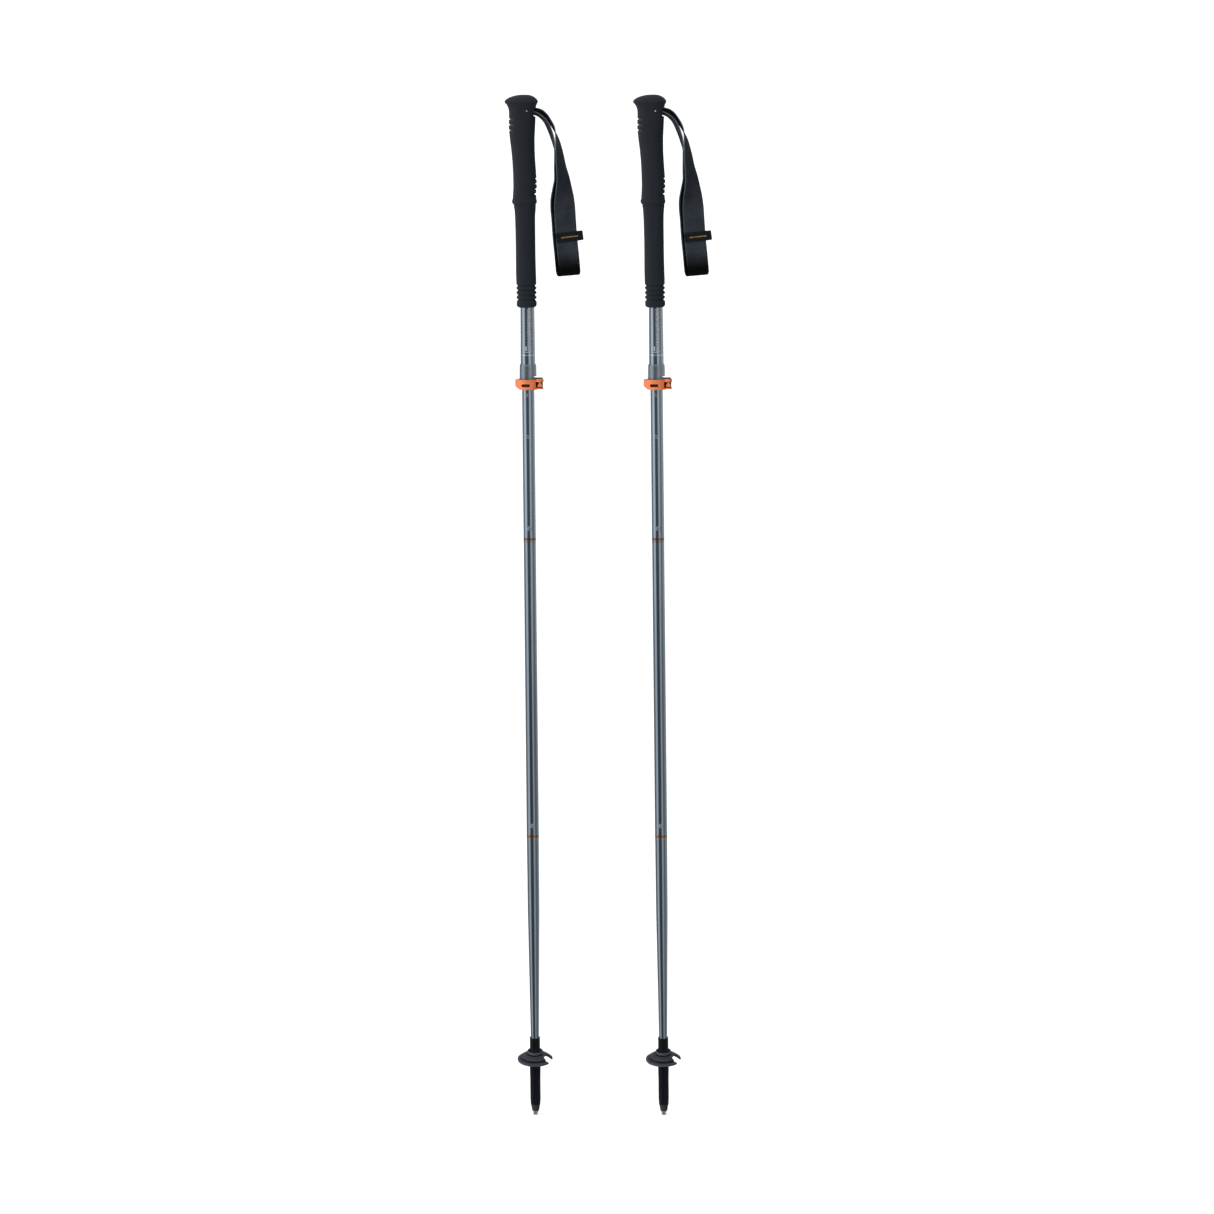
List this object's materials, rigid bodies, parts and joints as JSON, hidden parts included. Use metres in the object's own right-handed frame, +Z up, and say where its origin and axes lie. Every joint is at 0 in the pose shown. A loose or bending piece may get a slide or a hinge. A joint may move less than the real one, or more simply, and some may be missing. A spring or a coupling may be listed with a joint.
{
  "type": "trekking poles",
  "caption": "Pair of folding, telescoping trekking poles with foam grips, wrist straps, lever clamps, snap-button fold joints, baskets and hard tips.",
  "frame": {"origin": "centre of the left pole's flat tip face", "axes": "+Z up along the poles, +X from the left pole to the right pole and towards each strap, -Y the side that the snap buttons and levers face"},
  "size_m": [0.249, 0.0553, 1.229],
  "materials": {
    "foam": "matt closed-cell foam",
    "nylon": "moulded, fine grain",
    "steel": "satin",
    "webbing": "ribbed woven webbing",
    "keeper": "woven tape with a stitched line",
    "upper_alloy": "grey-blue anodised, glossy",
    "shaft_alloy": "grey-blue anodised, glossy",
    "sleeve_alloy": "satin grey",
    "collar_alloy": "satin grey",
    "clamp_black": "glass-filled nylon",
    "orange": "satin moulded",
    "ring_orange": "anodised ring",
    "cord": "braided cord",
    "spring_steel": "bright",
    "ferrule_black": "moulded, semi matt",
    "carbide": "sintered, grey",
    "basket_grey": "moulded, semi matt"
  },
  "bodies": {
    "left_upper": {"left_grip_foam": "foam", "left_extension_foam": "foam", "left_grip_core": "nylon", "left_strap_pin": "steel", "left_strap_wedge": "nylon", "left_upper_tube": "upper_alloy", "left_clamp_sleeve": "sleeve_alloy", "left_clamp_band": "clamp_black", "left_lever_axle": "steel"},
    "left_screw": {"left_tension_screw": "orange"},
    "left_lever": {"left_lock_lever": "orange"},
    "left_strap": {"left_strap_webbing": "webbing", "left_strap_keeper": "keeper"},
    "left_adjust": {"left_adjust_tube": "shaft_alloy", "left_guide_bush": "nylon", "left_cord_upper": "cord", "left_snap_spring_1": "spring_steel"},
    "left_button_1": {"left_snap_button_1": "steel"},
    "left_middle": {"left_middle_tube": "shaft_alloy", "left_spigot_1": "collar_alloy", "left_ring_1": "ring_orange", "left_cord_middle": "cord", "left_snap_spring_2": "spring_steel"},
    "left_button_2": {"left_snap_button_2": "steel"},
    "left_tip": {"left_tip_tube": "shaft_alloy", "left_spigot_2": "collar_alloy", "left_ring_2": "ring_orange", "left_ferrule": "ferrule_black", "left_carbide_tip": "carbide"},
    "left_basket": {"left_basket": "basket_grey"},
    "right_upper": {"right_grip_foam": "foam", "right_extension_foam": "foam", "right_grip_core": "nylon", "right_strap_pin": "steel", "right_strap_wedge": "nylon", "right_upper_tube": "upper_alloy", "right_clamp_sleeve": "sleeve_alloy", "right_clamp_band": "clamp_black", "right_lever_axle": "steel"},
    "right_screw": {"right_tension_screw": "orange"},
    "right_lever": {"right_lock_lever": "orange"},
    "right_strap": {"right_strap_webbing": "webbing", "right_strap_keeper": "keeper"},
    "right_adjust": {"right_adjust_tube": "shaft_alloy", "right_guide_bush": "nylon", "right_cord_upper": "cord", "right_snap_spring_1": "spring_steel"},
    "right_button_1": {"right_snap_button_1": "steel"},
    "right_middle": {"right_middle_tube": "shaft_alloy", "right_spigot_1": "collar_alloy", "right_ring_1": "ring_orange", "right_cord_middle": "cord", "right_snap_spring_2": "spring_steel"},
    "right_button_2": {"right_snap_button_2": "steel"},
    "right_tip": {"right_tip_tube": "shaft_alloy", "right_spigot_2": "collar_alloy", "right_ring_2": "ring_orange", "right_ferrule": "ferrule_black", "right_carbide_tip": "carbide"},
    "right_basket": {"right_basket": "basket_grey"}
  },
  "joints": [
    {"name": "left_telescope", "type": "slide", "parent": "left_upper", "child": "left_adjust", "axis": [0, 0, 1], "range_m": [-0.075, 0.13]},
    {"name": "left_lever_swing", "type": "hinge", "parent": "left_upper", "child": "left_lever", "pos_m": [0.014, -0.009, 0.8808], "axis": [0, 0, 1], "range_deg": [0, 150]},
    {"name": "left_screw_turn", "type": "hinge", "parent": "left_upper", "child": "left_screw", "pos_m": [0.014, -0.009, 0.8808], "axis": [0, -1, 0], "range_deg": [-180, 180]},
    {"name": "left_strap_swing", "type": "hinge", "parent": "left_upper", "child": "left_strap", "pos_m": [0.017, 0, 1.2086], "axis": [0, -1, 0], "range_deg": [-5, 20]},
    {"name": "left_button_1_press", "type": "slide", "parent": "left_adjust", "child": "left_button_1", "axis": [0, 1, 0], "range_m": [0, 0.002], "stiffness_N_per_m": 900, "springref_m": -0.001, "deforming": ["left_snap_spring_1"]},
    {"name": "left_fold_1", "type": "hinge", "parent": "left_adjust", "child": "left_middle", "pos_m": [0, 0.013, 0.6958], "axis": [1, 0, 0], "range_deg": [0, 180]},
    {"name": "left_button_2_press", "type": "slide", "parent": "left_middle", "child": "left_button_2", "axis": [0, 1, 0], "range_m": [0, 0.002], "stiffness_N_per_m": 900, "springref_m": -0.001, "deforming": ["left_snap_spring_2"]},
    {"name": "left_fold_2", "type": "hinge", "parent": "left_middle", "child": "left_tip", "pos_m": [0, -0.0146, 0.3374], "axis": [-1, 0, 0], "range_deg": [0, 180]},
    {"name": "left_basket_turn", "type": "hinge", "parent": "left_tip", "child": "left_basket", "pos_m": [0, 0, 0.069], "axis": [0, 0, 1], "range_deg": [-270, 0]},
    {"name": "right_telescope", "type": "slide", "parent": "right_upper", "child": "right_adjust", "axis": [0, 0, 1], "range_m": [-0.075, 0.13]},
    {"name": "right_lever_swing", "type": "hinge", "parent": "right_upper", "child": "right_lever", "pos_m": [0.1678, -0.0239, 0.8808], "axis": [0, 0, 1], "range_deg": [0, 150]},
    {"name": "right_screw_turn", "type": "hinge", "parent": "right_upper", "child": "right_screw", "pos_m": [0.1678, -0.0239, 0.8808], "axis": [0, -1, 0], "range_deg": [-180, 180]},
    {"name": "right_strap_swing", "type": "hinge", "parent": "right_upper", "child": "right_strap", "pos_m": [0.1708, -0.0149, 1.2086], "axis": [0, -1, 0], "range_deg": [-5, 20]},
    {"name": "right_button_1_press", "type": "slide", "parent": "right_adjust", "child": "right_button_1", "axis": [0, 1, 0], "range_m": [0, 0.002], "stiffness_N_per_m": 900, "springref_m": -0.001, "deforming": ["right_snap_spring_1"]},
    {"name": "right_fold_1", "type": "hinge", "parent": "right_adjust", "child": "right_middle", "pos_m": [0.1538, -0.0019, 0.6958], "axis": [1, 0, 0], "range_deg": [0, 180]},
    {"name": "right_button_2_press", "type": "slide", "parent": "right_middle", "child": "right_button_2", "axis": [0, 1, 0], "range_m": [0, 0.002], "stiffness_N_per_m": 900, "springref_m": -0.001, "deforming": ["right_snap_spring_2"]},
    {"name": "right_fold_2", "type": "hinge", "parent": "right_middle", "child": "right_tip", "pos_m": [0.1538, -0.0295, 0.3374], "axis": [-1, 0, 0], "range_deg": [0, 180]},
    {"name": "right_basket_turn", "type": "hinge", "parent": "right_tip", "child": "right_basket", "pos_m": [0.1538, -0.0149, 0.069], "axis": [0, 0, 1], "range_deg": [-270, 0]},
    {"name": "pair_spread", "type": "slide", "parent": "left_upper", "child": "right_upper", "axis": [1, 0, 0], "range_m": [0, 0.25]}
  ]
}
